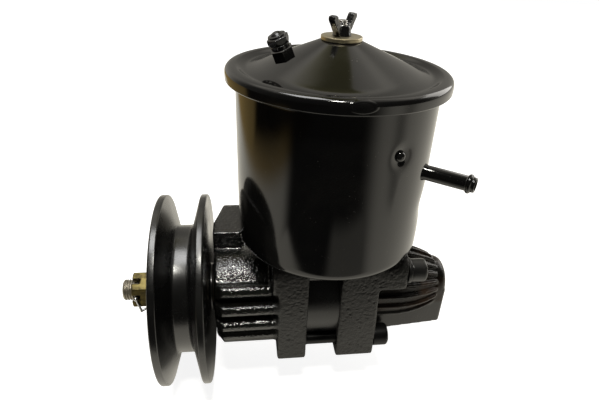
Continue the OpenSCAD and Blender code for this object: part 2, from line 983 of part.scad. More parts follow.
// Hose pipe with a bead at its end and a flared foot on the can
module return_pipe() {
  color("#17181a")
    difference() {
      on_can(pipe_a, pipe_h)
        rotate_extrude()
          difference() {
            union() {
              translate([0, can_r - 4])
                square([pipe_d / 2, pipe_l + 4]);
              translate([pipe_d / 2 - 0.4, can_r + pipe_l - 4])
                intersection() {
                  circle(1.7, $fn = 24);
                  translate([-0.5, -3])
                    square([4, 6]);
                }
              difference() {
                polygon([[0, can_r - 1], [pipe_d / 2 + 3.4, can_r - 1], [pipe_d / 2 + 3.2, can_r + 1],
                  [pipe_d / 2 + 0.8, can_r + 2.4], [pipe_d / 2, can_r + 5], [0, can_r + 5]]);
              }
            }
            translate([-1, can_r - 10])
              square([pipe_d / 2 - 1.2 + 1, pipe_l + 30]);
          }
      difference() {
        translate([0, 0, can_z0])
          cylinder(h = can_h, r = can_r, $fn = 96);
        on_can(pipe_a, pipe_h)
          cylinder(h = can_r + 5, d = pipe_d, $fn = 32);
      }
    }
}

// Small round-headed plug in the dish on the can
module side_plug() {
  color("#1c1d1f")
    on_can(plug_a, plug_h) {
      translate([0, 0, can_r - 8])
        cylinder(h = 7, r = 1.6, $fn = 24);
      intersection() {
        translate([0, 0, can_r - 2.4])
          sphere(3.6, $fn = 32);
        translate([0, 0, can_r - 1.8])
          cylinder(h = 5, r = 3.3, $fn = 32);
      }
    }
}

// Plate that clamps the can bottom and carries the stud
module filter_plate() {
  color("#77797c")
    difference() {
      translate([0, 0, plate_z])
        linear_extrude(plate_t)
          round_rect(-bolt_x - 9, -bolt_y - 9, bolt_x + 9, bolt_y + 9, 8);
      bottom_holes(plate_z - 1, plate_t + 2);
      translate([0, 0, plate_z - 1])
        cylinder(h = plate_t + 2, d = stud_d, $fn = 32);
    }
}

module reservoir_bolts() {
  color("#8a8d91")
    for (x = [-bolt_x, bolt_x])
      for (y = [-bolt_y, bolt_y])
        translate([x, y, plate_z + plate_t]) {
          hex(bolt_af, bolt_head_h);
          translate([0, 0, -bolt_l])
            cylinder(h = bolt_l + 1, r = 4, $fn = 32);
        }
}

module lid_stud() {
  color("#b5b8bb") {
    translate([0, 0, plate_z])
      cylinder(h = stud_z1 - plate_z - 0.8, d = stud_d, $fn = 32);
    translate([0, 0, stud_z1 - 0.8 - eps])
      cylinder(h = 0.8 + eps, d1 = stud_d, d2 = stud_d - 1.6, $fn = 32);
  }
}

module filter_element() {
  color("#b9a878")
    difference() {
      translate([0, 0, filter_z])
        cylinder(h = filter_h, r = filter_r);
      translate([0, 0, filter_z - 1])
        cylinder(h = filter_h + 2, r = filter_r - 5);
    }
}

module filter_cap() {
  color("#8f9295")
    difference() {
      union() {
        translate([0, 0, filter_z + filter_h])
          cylinder(h = 2, r = filter_r);
        translate([0, 0, filter_z + filter_h - 4])
          cylinder(h = 5, r = filter_r - 5);
      }
      translate([0, 0, filter_z + filter_h - 5])
        cylinder(h = 9, d = stud_d + 2 * pass_c, $fn = 32);
    }
}

module filter_spring() {
  color("#9a9da0")
    translate([0, 0, filter_z + filter_h + 2])
      coil_spring(7.5, 0.9, 5, filter_spring_l);
}

module filter_nut() {
  color("#9a9da0")
    translate([0, 0, filter_z + filter_h + 2 + filter_spring_l])
      difference() {
        union() {
          cylinder(h = 1.6, r = 10);
          translate([0, 0, 1.5])
            hex(10, 5);
        }
        translate([0, 0, -1])
          cylinder(h = 10, d = stud_d, $fn = 32);
      }
}

module lid_gasket() {
  color("#1b1b1b")
    translate([0, 0, lip_z])
      difference() {
        cylinder(h = lid_gasket_t, r = lip_r);
        translate([0, 0, -1])
          cylinder(h = lid_gasket_t + 2, r = can_r - 3);
      }
}

// Pressed lid: turned-down skirt, rolled shoulder, valley and cone
module lid_section() {
  t = sheet_t;
  zs = lid_seat_z;
  polygon([[stud_d / 2 + pass_c, top_z], [stud_d / 2 + pass_c, top_z - t], [top_r - 0.5, top_z - t],
    [cone_r - 0.5, cone_z0 - t], [valley_r, zs], [lip_r + 0.6, zs], [lip_r + 0.6, zs - 4.8],
    [lid_skirt_r - 0.4, zs - 4.8], [lid_skirt_r, zs - 4.2], [lid_skirt_r - 0.2, zs - 1],
    [lid_skirt_r - 1, zs + 2.4], [lid_skirt_r - 2.6, zs + 4], [lid_skirt_r - 5, zs + 4.2],
    [lid_skirt_r - 7.5, zs + 3.2], [valley_r + 2, zs + 1.6], [cone_r + 2, cone_z0 - 0.6],
    [cone_r, cone_z0], [top_r, top_z]]);
}

// Points children along the slope normal of the lid at the breather
module on_lid() {
  rotate(breather_a)
    translate([breather_r, 0, breather_z])
      rotate([0, cone_slope, 0])
        children();
}

module lid() {
  color("#131415")
    difference() {
      rotate_extrude($fn = 96)
        lid_section();
      on_lid()
        translate([0, 0, -6])
          cylinder(h = 12, r = 4, $fn = 32);
    }
}

module lid_washer() {
  color("#b7a566")
    translate([0, 0, top_z])
      difference() {
        cylinder(h = lid_washer_t, r = lid_washer_r);
        translate([0, 0, -1])
          cylinder(h = lid_washer_t + 2, d = stud_d + 2 * pass_c, $fn = 32);
      }
}

// One wing in its own plane: a thick bar that leans outwards and ends square
module wing_outline() {
  polygon([[0, 0.6], [5.5, 0.6], [8.6, 3.4], [13.8, 10.4], [13.4, 12.2], [10.4, 12.8], [9.4, 12.2], [6, 6.8], [0, 5.6]]);
}

module wing_nut() {
  color("#161718")
    translate([0, 0, wing_z])
      rotate(wing_a)
        difference() {
          union() {
            cylinder(h = wing_hub_h, r1 = wing_hub_r, r2 = wing_hub_r - 1.4, $fn = 48);
            for (a = [0, 180])
              rotate(a)
                rotate([90, 0, 0])
                  translate([0, 0, -wing_t / 2])
                    linear_extrude(wing_t)
                      wing_outline();
          }
          translate([0, 0, -1])
            cylinder(h = 20, d = stud_d + 2 * run_c, $fn = 32);
        }
}

// Breather: screwed body through the lid, with a flanged cap on top
module breather_body() {
  color("#151617")
    on_lid() {
      translate([0, 0, -4])
        cylinder(h = 4 + eps, r = 4, $fn = 32);
      rotate(15)
        hex(14.5, 6.8);
      cylinder(h = 9.5, r = 5.4, $fn = 32);
    }
}

module breather_cap() {
  color("#18191a")
    on_lid() {
      translate([0, 0, 9.5])
        intersection() {
          hex(13, 4.5);
          cylinder(h = 4.5, r1 = 6.2, r2 = 9);
        }
      translate([0, 0, 14 - eps])
        cylinder(h = 1.4, r = 5, $fn = 32);
      intersection() {
        translate([0, 0, 12.6])
          sphere(4.6, $fn = 32);
        translate([0, 0, 15])
          cylinder(h = 4, r = 5, $fn = 32);
      }
    }
}

front_housing();
rotor_ring();
rear_cover();
clamp_screws();
spring_washers();
ring_seals();
bearing_outer_race();
bearing_inner_race();
bearing_balls();
bearing_cage();
housing_snap_ring();
shaft_snap_ring();
oil_seal();
rear_bush();
drive_shaft();
pulley_key();
rotor_key();
pulley();
pulley_washer();
castle_nut();
cotter_pin();
inner_rotor();
outer_rotor();
flow_valve_spool();
flow_valve_spring();
flow_valve_plug();
plug_washer();
reservoir_gasket();
reservoir_can();
return_pipe();
side_plug();
filter_plate();
reservoir_bolts();
lid_stud();
filter_element();
filter_cap();
filter_spring();
filter_nut();
lid_gasket();
lid();
lid_washer();
wing_nut();
breather_body();
breather_cap();
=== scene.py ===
import json
import math

import bmesh
import bpy
import numpy as np
from mathutils import Matrix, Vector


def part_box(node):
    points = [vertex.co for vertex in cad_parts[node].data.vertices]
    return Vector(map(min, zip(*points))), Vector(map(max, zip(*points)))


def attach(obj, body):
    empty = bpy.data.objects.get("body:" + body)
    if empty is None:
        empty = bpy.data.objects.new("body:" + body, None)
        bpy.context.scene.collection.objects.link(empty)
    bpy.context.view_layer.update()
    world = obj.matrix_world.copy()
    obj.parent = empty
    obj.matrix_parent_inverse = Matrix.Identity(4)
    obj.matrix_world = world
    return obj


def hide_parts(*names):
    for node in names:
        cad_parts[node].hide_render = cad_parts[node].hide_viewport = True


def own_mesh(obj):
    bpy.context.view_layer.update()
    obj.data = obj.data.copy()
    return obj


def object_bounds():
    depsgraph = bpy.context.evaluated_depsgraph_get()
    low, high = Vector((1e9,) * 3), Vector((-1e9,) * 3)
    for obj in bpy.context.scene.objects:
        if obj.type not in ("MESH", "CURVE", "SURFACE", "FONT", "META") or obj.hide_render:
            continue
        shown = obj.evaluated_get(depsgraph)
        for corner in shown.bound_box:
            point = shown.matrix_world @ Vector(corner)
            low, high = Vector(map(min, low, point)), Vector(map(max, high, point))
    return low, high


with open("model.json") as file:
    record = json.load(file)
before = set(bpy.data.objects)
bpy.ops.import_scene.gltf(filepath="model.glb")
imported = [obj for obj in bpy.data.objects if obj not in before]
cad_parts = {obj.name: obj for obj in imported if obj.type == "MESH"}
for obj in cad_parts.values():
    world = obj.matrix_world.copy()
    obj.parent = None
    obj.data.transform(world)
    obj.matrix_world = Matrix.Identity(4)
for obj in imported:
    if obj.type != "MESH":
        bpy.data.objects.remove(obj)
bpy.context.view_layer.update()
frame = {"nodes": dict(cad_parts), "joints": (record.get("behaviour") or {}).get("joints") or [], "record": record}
nodes = frame["nodes"]

# Shapes are written in millimetres; shader places are in metres
MM = 0.001
box = {n: np.array([list(c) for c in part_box(n)]) / MM for n in nodes}
joints = {j["name"]: j for j in frame["joints"]}
AXIS_Z = joints["shaft_spin"]["pos_m"][2] / MM

# Along the shaft: the outer face of the washers on the upper screws' arms, the outer faces of the
# front and rear flange, and the rear face of the pulley's rim
ARM_X = box["spring_washers"][1, 0]
FLANGE_X0, FLANGE_X1 = box["front_housing"][1, 0] - 22.8, box["rear_cover"][0, 0] + 31
PULLEY_REAR_X = box["pulley"][1, 0] - 2.6

# Sheet metal of the can and lid
SHEET = 1.5
CAN_R, CAN_Z0, CAN_Z1 = 67.5, box["reservoir_can"][0, 2], box["reservoir_can"][1, 2]
LID_TOP_R, LID_CONE_R = 13.0, 55.0


# Meshes

def to_object(name, verts, faces, smooth=True):
    """New object from vertex and face arrays in millimetres; a closed surface faces outwards."""
    me = bpy.data.meshes.new(name)
    me.from_pydata((np.asarray(verts, float) * MM).tolist(), [], [list(f) for f in faces])
    me.validate()
    if len(faces) > 1:
        bm = bmesh.new()
        bm.from_mesh(me)
        bmesh.ops.recalc_face_normals(bm, faces=bm.faces)
        bm.to_mesh(me)
        bm.free()
    me.polygons.foreach_set("use_smooth", np.full(len(me.polygons), smooth))
    ob = bpy.data.objects.new(name, me)
    bpy.context.scene.collection.objects.link(ob)
    return ob


def points_of(ob):
    """Vertex places of an object in millimetres."""
    at = np.zeros(3 * len(ob.data.vertices))
    ob.data.vertices.foreach_get("co", at)
    return at.reshape(-1, 3) / MM


def grid_faces(rows, cols, close_rows, close_cols):
    """Quads of a rows by cols grid of points, closed on itself in either direction on request."""
    i = np.arange(rows if close_rows else rows - 1)[:, None]
    j = np.arange(cols if close_cols else cols - 1)[None, :]
    i2, j2 = (i + 1) % rows, (j + 1) % cols
    corners = [i * cols + j, i * cols + j2, i2 * cols + j2, i2 * cols + j]
    return np.stack(corners, -1).reshape(-1, 4)


def bar_faces(rows, sides):
    """Faces of a bar whose section has the given number of points: its skin and its two ends."""
    first, last = list(range(sides))[::-1], list(range((rows - 1) * sides, rows * sides))
    return grid_faces(rows, sides, False, True).tolist() + [first, last]


def fillet(points, radius, seg=5):
    """Closed outline whose corners are rounded: each corner becomes a quadratic arc that starts and
    ends the radius away from it, or 0.45 of the shorter side there."""
    p = np.asarray(points, float)
    r = np.broadcast_to(np.asarray(radius, float), len(p))
    back, ahead = np.roll(p, 1, 0) - p, np.roll(p, -1, 0) - p
    lb, la = np.linalg.norm(back, axis=1), np.linalg.norm(ahead, axis=1)
    cut = np.minimum(r, 0.45 * np.minimum(lb, la))[:, None]
    a, c = (p + back / lb[:, None] * cut)[:, None], (p + ahead / la[:, None] * cut)[:, None]
    t = np.linspace(0, 1, seg + 1)[None, :, None]
    arcs = ((1 - t) ** 2 * a + 2 * t * (1 - t) * p[:, None] + t ** 2 * c).reshape(-1, 2)
    return arcs[np.linalg.norm(arcs - np.roll(arcs, 1, 0), axis=1) > 1e-6]


def spread(outline, step):
    """The outline with points added so that none lie further apart than the step."""
    p = np.asarray(outline, float)
    q = np.roll(p, -1, 0)
    n = np.maximum(1, np.ceil(np.linalg.norm(q - p, axis=1) / step).astype(int))
    k = np.repeat(np.arange(len(p)), n)
    t = (np.arange(n.sum()) - np.repeat(np.cumsum(n) - n, n)) / n[k]
    return p[k] + (q - p)[k] * t[:, None]


def thin_out(outline, keep, every=12):
    """The outline with only one point in every so many outside the part to keep."""
    return outline[keep | (np.arange(len(outline)) % every == 0)]


def about_z(r, a, h):
    """Place at a radius, angle and height about the reservoir axis."""
    return np.stack([r * np.cos(a), r * np.sin(a), h + 0 * r], -1)


def about_shaft(r, a, h):
    """Place at a radius, angle and distance along the shaft axis."""
    return np.stack([h + 0 * r, r * np.cos(a), AXIS_Z + r * np.sin(a)], -1)


def revolve(name, outline, turn, n=160, swell=None):
    """Closed outline of (radius, height) pairs turned about an axis; turn(r, a, h) gives the place
    and swell(r, a, h) the final radius."""
    o = np.asarray(outline, float)
    a = np.linspace(0, 2 * np.pi, n, endpoint=False) + np.zeros((len(o), 1))
    r, h = o[:, :1] + 0 * a, o[:, 1:] + 0 * a
    verts = turn(r if swell is None else swell(r, a, h), a, h).reshape(-1, 3)
    return to_object(name, verts, grid_faces(len(o), n, True, True)[:, ::-1])


def settle(ob):
    """Applies an object's modifiers."""
    seen = ob.evaluated_get(bpy.context.evaluated_depsgraph_get())
    done = bpy.data.meshes.new_from_object(seen)
    ob.modifiers.clear()
    ob.data = done


def soften(ob, rounds, group=""):
    """Adds a smoothing modifier, for the points of one vertex group if it is named."""
    mod = ob.modifiers.new("soft", "SMOOTH")
    mod.factor, mod.iterations, mod.vertex_group = 0.5, rounds, group


def cast_copy(node, voxel, rounds, softer=None):
    """Copy of a CAD solid with soft edges: a voxel skin of it, smoothed the given number of rounds.
    Softer is a test of X, Y and Z for the places that are smoothed more, and the further rounds."""
    ob = bpy.data.objects.new(node + "_skin", nodes[node].data.copy())
    bpy.context.scene.collection.objects.link(ob)
    ob.modifiers.new("weld", "WELD").merge_threshold = 1e-6
    remesh = ob.modifiers.new("skin", "REMESH")
    remesh.mode = "VOXEL"
    remesh.voxel_size = voxel * MM
    settle(ob)
    soften(ob, rounds)
    if softer:
        test, more_rounds = softer
        inside = np.flatnonzero(test(*points_of(ob).T)).tolist()
        ob.vertex_groups.new(name="softer").add(inside, 1.0, "REPLACE")
        soften(ob, more_rounds, "softer")
    settle(ob)
    ob.data.polygons.foreach_set("use_smooth", np.full(len(ob.data.polygons), True))
    return ob


# Shader nodes

def add(tree, kind, sets=None, **ins):
    """Adds a node; keyword inputs are values or output sockets, by socket name with _ for spaces,
    or by number as i0, i1 and so on."""
    n = tree.nodes.new(kind)
    for k, v in (sets or {}).items():
        setattr(n, k, v)
    for k, v in ins.items():
        key = int(k[1:]) if k[0] == "i" and k[1:].isdigit() else k.replace("_", " ")
        if isinstance(v, bpy.types.NodeSocket):
            tree.links.new(v, n.inputs[key])
        else:
            n.inputs[key].default_value = v
    return n


def math_node(tree, op, a, b=0.0):
    return add(tree, "ShaderNodeMath", {"operation": op}, i0=a, i1=b).outputs[0]


def combine(tree, op, first, *others):
    """One value from several by the same operation."""
    for value in others:
        first = math_node(tree, op, first, value)
    return first


def ramp(tree, value, lo, hi, to_lo=0.0, to_hi=1.0):
    """Smooth step of a value between two limits."""
    return add(tree, "ShaderNodeMapRange", {"interpolation_type": "SMOOTHSTEP"}, Value=value,
               From_Min=lo, From_Max=hi, To_Min=to_lo, To_Max=to_hi).outputs[0]


def mm_ramp(tree, coordinate, lo, hi):
    """Smooth step of a coordinate between two places in millimetres."""
    return ramp(tree, coordinate, lo * MM, hi * MM)


def deg_ramp(tree, angle, lo, hi, to_lo=0.0, to_hi=1.0):
    """Smooth step of an angle between two limits in degrees."""
    return ramp(tree, angle, math.radians(lo), math.radians(hi), to_lo, to_hi)


def ellipse(tree, *terms):
    """Distance from a centre in half widths; a term is a coordinate, its centre and half width."""
    total = 0.0
    for coordinate, centre, half in terms:
        d = math_node(tree, "DIVIDE", math_node(tree, "SUBTRACT", coordinate, centre), half)
        total = math_node(tree, "ADD", math_node(tree, "MULTIPLY", d, d), total)
    return math_node(tree, "SQRT", total)


def mix_colour(tree, fac, a, b):
    n = add(tree, "ShaderNodeMix", {"data_type": "RGBA"})
    for k, v in (("Factor", fac), ("A", a), ("B", b)):
        s = [i for i in n.inputs if i.name == k and (i.type == "RGBA" or k == "Factor")][0]
        if isinstance(v, bpy.types.NodeSocket):
            tree.links.new(v, s)
        else:
            s.default_value = v
    return [o for o in n.outputs if o.type == "RGBA"][0]


def mix_shader(tree, fac, a, b):
    return add(tree, "ShaderNodeMixShader", Fac=fac, i1=a, i2=b).outputs[0]


def new_material(name):
    m = bpy.data.materials.new(name)
    m.use_nodes = True
    m.node_tree.nodes.clear()
    return m, m.node_tree, m.node_tree.nodes.new("ShaderNodeOutputMaterial")


# Materials

def build_skin_group():
    """Surface detail shared by the finishes: a grain height, sparse pits, broad smudges and specks
    of dust. Grain and pit sizes are in millimetres, and the smudge scale is per metre."""
    g = bpy.data.node_groups.new("surface_skin", "ShaderNodeTree")
    for label, value in (("Grain Size", 1.0), ("Grain Detail", 3.0), ("Pit Size", 1.0),
                         ("Smudge Scale", 22.0)):
        socket = g.interface.new_socket(label, in_out="INPUT", socket_type="NodeSocketFloat")
        socket.default_value = value
    for label in ("Grain", "Pits", "Smudge", "Dust"):
        g.interface.new_socket(label, in_out="OUTPUT", socket_type="NodeSocketFloat")
    given, out = g.nodes.new("NodeGroupInput").outputs, g.nodes.new("NodeGroupOutput")
    at = add(g, "ShaderNodeTexCoord").outputs["Object"]

    def noise(**settings):
        return add(g, "ShaderNodeTexNoise", Vector=at, **settings).outputs["Fac"]

    def cells(scale):
        return add(g, "ShaderNodeTexVoronoi", Vector=at, Scale=scale).outputs["Distance"]

    grains = math_node(g, "DIVIDE", 1 / MM, given["Grain Size"])
    pits = cells(math_node(g, "DIVIDE", 1 / MM, given["Pit Size"]))
    broad = noise(Scale=55.0, Detail=4.0, Roughness=0.55)
    specks = cells(420.0)
    found = {
        "Grain": noise(Scale=grains, Detail=given["Grain Detail"], Roughness=0.6),
        "Pits": math_node(g, "MULTIPLY", ramp(g, pits, 0.42, 0.1), ramp(g, broad, 0.42, 0.62)),
        "Smudge": noise(Scale=given["Smudge Scale"], Detail=5.0, Roughness=0.6, Distortion=0.7),
        "Dust": math_node(g, "MULTIPLY", ramp(g, specks, 0.11, 0.05), ramp(g, broad, 0.5, 0.66))}
    for label, socket in found.items():
        g.links.new(socket, out.inputs[label])
    return g


skin = build_skin_group()
DUST_COLOUR, DUST_AMOUNT, DUST_ROUGHNESS = (0.2, 0.19, 0.17, 1), 0.5, 0.3


def coat_layer(t, base, worn, rough, grain, pits, metal=0.0, level=0.5, fine=3.0, smudge=22.0,
               relief=None):
    """One paint or plating shader: smudges vary the colour and the gloss, grain and pits make the
    relief, dust lies in specks. Grain and pits are (size, height) in millimetres, rough is the
    (lowest, highest) roughness, fine the noise detail of the grain, smudge the scale of the smudges
    per metre, and relief a further height in metres."""
    s = t.nodes.new("ShaderNodeGroup")
    s.node_tree = skin
    for label, value in (("Grain Size", grain[0]), ("Grain Detail", fine), ("Pit Size", pits[0]),
                         ("Smudge Scale", smudge)):
        s.inputs[label].default_value = value
    tone = mix_colour(t, ramp(t, s.outputs["Smudge"], 0.35, 0.68), (*base, 1), (*worn, 1))
    speck = math_node(t, "MULTIPLY", s.outputs["Dust"], DUST_AMOUNT)
    dull = math_node(t, "ADD", ramp(t, s.outputs["Smudge"], 0.3, 0.72, *rough),
                     math_node(t, "MULTIPLY", speck, DUST_ROUGHNESS))
    height = math_node(t, "SUBTRACT", math_node(t, "MULTIPLY", s.outputs["Grain"], grain[1] * MM),
                       math_node(t, "MULTIPLY", s.outputs["Pits"], pits[1] * MM))
    if relief is not None:
        height = math_node(t, "ADD", height, relief)
    bump = add(t, "ShaderNodeBump", Strength=1.0, Distance=1.0, Height=height).outputs[0]
    return add(t, "ShaderNodeBsdfPrincipled", Base_Color=mix_colour(t, speck, tone, DUST_COLOUR),
               Roughness=dull, Normal=bump, Metallic=metal, Specular_IOR_Level=level).outputs[0]


def paint(name, first, *others):
    """Material of one or more coat layers; each further one comes with a mask(tree, x, y, z), which
    gives how much of it shows at a place in metres."""
    m, t, out = new_material(name)
    shade = coat_layer(t, **first)
    if others:
        at = add(t, "ShaderNodeTexCoord").outputs["Object"]
        place = add(t, "ShaderNodeSeparateXYZ", Vector=at).outputs
    for coat, mask in others:
        shown = mask(t, place["X"], place["Y"], place["Z"])
        shade = mix_shader(t, shown, shade, coat_layer(t, **coat))
    t.links.new(shade, out.inputs[0])
    return m


def pulley_rear(t, x, y, z):
    """The rear face of the pulley."""
    return mm_ramp(t, x, PULLEY_REAR_X - 0.8, PULLEY_REAR_X - 0.3)


def shaded_below_shaft(t, x, y, z):
    """What lies under the shaft, the lower clamp screws, which get a painted shade."""
    return mm_ramp(t, z, AXIS_Z + 5, AXIS_Z - 5)


def behind_barrel(t, x, y, z):
    """The flange and feet of the front casting."""
    return mm_ramp(t, x, FLANGE_X0 - 5.1, FLANGE_X0 - 0.1)


def shade_under_can(t, x, y, z):
    """Painted shade of the can: from above the feet, more and more up to the can."""
    return mm_ramp(t, z, AXIS_Z - 20, AXIS_Z + 44)


def flange_shade_under_can(t, x, y, z):
    """The upper part of the front casting's flange, where the can's shade is painted."""
    return math_node(t, "MULTIPLY", behind_barrel(t, x, y, z), shade_under_can(t, x, y, z))


def behind_flange(t, x, y, z):
    """The rear casting behind its flange."""
    return mm_ramp(t, x, FLANGE_X1 - 0.7, FLANGE_X1 + 2.8)


def cover_fins(t, x, y, z):
    """The finned dome of the rear casting, without the arms of the upper screws."""
    arm = combine(t, "MULTIPLY", mm_ramp(t, math_node(t, "ABSOLUTE", y), 19.5, 21.5),
                  mm_ramp(t, z, AXIS_Z + 17, AXIS_Z + 19), mm_ramp(t, x, ARM_X + 1, ARM_X - 0.5))
    no_arm = math_node(t, "SUBTRACT", 1.0, arm)
    return math_node(t, "MULTIPLY", behind_flange(t, x, y, z), no_arm)


def cover_chest(t, x, y, z):
    """The flat-bottomed valve chest under the dome."""
    low = mm_ramp(t, z, AXIS_Z - 9, AXIS_Z - 13)
    return math_node(t, "MULTIPLY", behind_flange(t, x, y, z), low)


gloss_coat = dict(base=(0.0035, 0.0035, 0.0037), worn=(0.006, 0.0058, 0.0054), rough=(0.07, 0.15),
                  grain=(2.4, 0.003), pits=(3.0, 0.0))
lid_coat = dict(gloss_coat, rough=(0.09, 0.16))
chip_coat = dict(base=(0.004, 0.004, 0.004), worn=(0.007, 0.0065, 0.006), rough=(0.8, 0.95),
                 grain=(0.8, 0.05), pits=(1.5, 0.03), level=0.0)
barrel_coat = dict(base=(0.004, 0.004, 0.004), worn=(0.007, 0.007, 0.006), rough=(0.08, 0.13),
                   grain=(1.35, 0.52), pits=(2.0, 0.06), level=0.8, fine=0.5)
flange_coat = dict(base=(0.014, 0.014, 0.013), worn=(0.024, 0.023, 0.021), rough=(0.36, 0.5),
                   grain=(3.6, 1.5), pits=(4.4, 0.6), level=0.45)
# Darker, duller copy of the flange paint: painted shade of the can on the upper castings.
can_shade_coat = dict(flange_coat, base=(0.008, 0.008, 0.007), worn=(0.014, 0.013, 0.012), level=0.24)
fin_coat = dict(base=(0.004, 0.0034, 0.0026), worn=(0.032, 0.016, 0.007), rough=(0.24, 0.36),
                grain=(1.2, 0.14), pits=(2.4, 0.08), level=0.3)
chest_coat = dict(base=(0.014, 0.014, 0.013), worn=(0.022, 0.021, 0.019), rough=(0.32, 0.42),
                  grain=(1.6, 0.08), pits=(2.4, 0.05))
pulley_coat = dict(base=(0.003, 0.003, 0.003), worn=(0.006, 0.006, 0.0055), rough=(0.23, 0.33),
                   grain=(1.3, 0.02), pits=(3.0, 0.02), level=0.8)
rear_face_coat = dict(pulley_coat, rough=(0.19, 0.26), grain=(1.3, 0.01), level=0.4)
screw_coat = dict(base=(0.008, 0.008, 0.008), worn=(0.016, 0.015, 0.014), rough=(0.26, 0.38),
                  grain=(0.7, 0.01), pits=(2.0, 0.01))
# Darker, duller copy of the screw finish: painted shade on the lower clamp screws.
screw_shade_coat = dict(screw_coat, base=(0.003, 0.003, 0.003), worn=(0.006, 0.006, 0.006), level=0.2)
satin_coat = dict(base=(0.005, 0.005, 0.005), worn=(0.009, 0.009, 0.009), rough=(0.22, 0.34),
                  grain=(1.3, 0.012), pits=(3.0, 0.02))
wing_coat = dict(satin_coat, rough=(0.1, 0.18), grain=(1.5, 0.25), pits=(2.0, 0.05), level=0.7,
                 fine=0.5)
fitting_coat = dict(satin_coat, rough=(0.1, 0.22), grain=(1.2, 0.03), pits=(2.0, 0.02))
washer_coat = dict(base=(0.52, 0.47, 0.34), worn=(0.40, 0.33, 0.19), rough=(0.3, 0.42),
                   grain=(0.6, 0.02), pits=(1.6, 0.02), metal=0.9)
zinc_coat = dict(base=(0.095, 0.074, 0.021), worn=(0.045, 0.034, 0.011), rough=(0.3, 0.5),
                 grain=(0.6, 0.03), pits=(1.6, 0.03), metal=0.8, smudge=230.0)
thread_coat = dict(base=(0.40, 0.37, 0.31), worn=(0.30, 0.27, 0.22), rough=(0.42, 0.54),
                   grain=(0.5, 0.01), pits=(1.5, 0.02), metal=1.0, smudge=150.0)
stud_coat = dict(base=(0.55, 0.54, 0.52), worn=(0.42, 0.40, 0.37), rough=(0.2, 0.32),
                 grain=(0.5, 0.005), pits=(1.5, 0.01), metal=1.0)
ground_coat = dict(base=(0.55, 0.55, 0.55), worn=(0.45, 0.45, 0.45), rough=(0.22, 0.36),
                   grain=(0.4, 0.003), pits=(1.5, 0.004), metal=1.0)
bronze_coat = dict(base=(0.55, 0.38, 0.16), worn=(0.45, 0.30, 0.13), rough=(0.3, 0.45),
                   grain=(0.5, 0.006), pits=(1.2, 0.01), metal=1.0)
copper_coat = dict(bronze_coat, base=(0.60, 0.30, 0.18), worn=(0.45, 0.24, 0.15))
rubber_coat = dict(base=(0.015, 0.015, 0.015), worn=(0.025, 0.024, 0.023), rough=(0.6, 0.8),
                   grain=(0.6, 0.02), pits=(2.0, 0.01))
board_coat = dict(base=(0.10, 0.08, 0.055), worn=(0.14, 0.11, 0.08), rough=(0.7, 0.85),
                  grain=(0.5, 0.03), pits=(1.5, 0.02))
cloth_coat = dict(base=(0.50, 0.43, 0.28), worn=(0.38, 0.32, 0.20), rough=(0.75, 0.9),
                  grain=(0.5, 0.08), pits=(1.2, 0.05))


def lid_paint():
    """Gloss paint with two marks of the photographed lid: an oval line raised on the front of the
    rim, and a slanting patch of dull chips in the valley at the front left."""
    oval_x, oval_z, line_height = 7.2 * MM, 3.0 * MM, 0.18 * MM
    rim_z = (box["lid"][0, 2] + 5.2) * MM
    chips_turn, chips_slant = math.radians(-138.5), 0.25
    chips_r, chips_out, chips_along = 61.0 * MM, 4.2 * MM, 11.5 * MM
    m, t, out = new_material("lid_gloss_paint")
    at = add(t, "ShaderNodeTexCoord").outputs["Object"]
    pos = add(t, "ShaderNodeSeparateXYZ", Vector=at).outputs
    to_oval = ellipse(t, (pos["X"], 0.0, oval_x), (pos["Z"], rim_z, oval_z))
    to_line = math_node(t, "ABSOLUTE", math_node(t, "SUBTRACT", to_oval, 1.0))
    oval = math_node(t, "MULTIPLY", ramp(t, to_line, 0.25, 0.05, 0.0, line_height),
                     mm_ramp(t, pos["Y"], -60, -65))
    turned = add(t, "ShaderNodeVectorRotate", {"rotation_type": "Z_AXIS"}, Vector=at,
                 Angle=-chips_turn).outputs[0]
    pos = add(t, "ShaderNodeSeparateXYZ", Vector=turned).outputs
    across = math_node(t, "SUBTRACT", pos["X"], math_node(t, "MULTIPLY", pos["Y"], chips_slant))
    to_chips = ellipse(t, (across, chips_r, chips_out), (pos["Y"], 0.0, chips_along))
    flakes = add(t, "ShaderNodeTexNoise", Vector=at, Scale=650.0, Detail=2.0).outputs["Fac"]
    chips = math_node(t, "MULTIPLY", ramp(t, to_chips, 1.0, 0.85), ramp(t, flakes, 0.34, 0.40))
    gloss = coat_layer(t, relief=oval, **lid_coat)
    t.links.new(mix_shader(t, chips, gloss, coat_layer(t, **chip_coat)), out.inputs[0])
    return m


# Both castings get a painted shade of the can on their upper parts.
front_black = paint("front_casting_paint", barrel_coat, (flange_coat, behind_barrel),
                    (can_shade_coat, flange_shade_under_can))
cover_black = paint("rear_casting_paint", flange_coat, (can_shade_coat, shade_under_can),
                    (fin_coat, cover_fins), (chest_coat, cover_chest))
pulley_black = paint("pulley_satin_paint", pulley_coat, (rear_face_coat, pulley_rear))
# The lower clamp screws carry a painted shade.
screw_black = paint("black_oxide", screw_coat, (screw_shade_coat, shaded_below_shaft))
gloss_black = paint("gloss_black_paint", gloss_coat)
fitting_black = paint("fitting_gloss_paint", fitting_coat)
zinc = paint("yellow_zinc", zinc_coat)
bronze = paint("bearing_bronze", bronze_coat)
rubber = paint("black_rubber", rubber_coat)
plain_steel = paint("ground_steel", ground_coat)

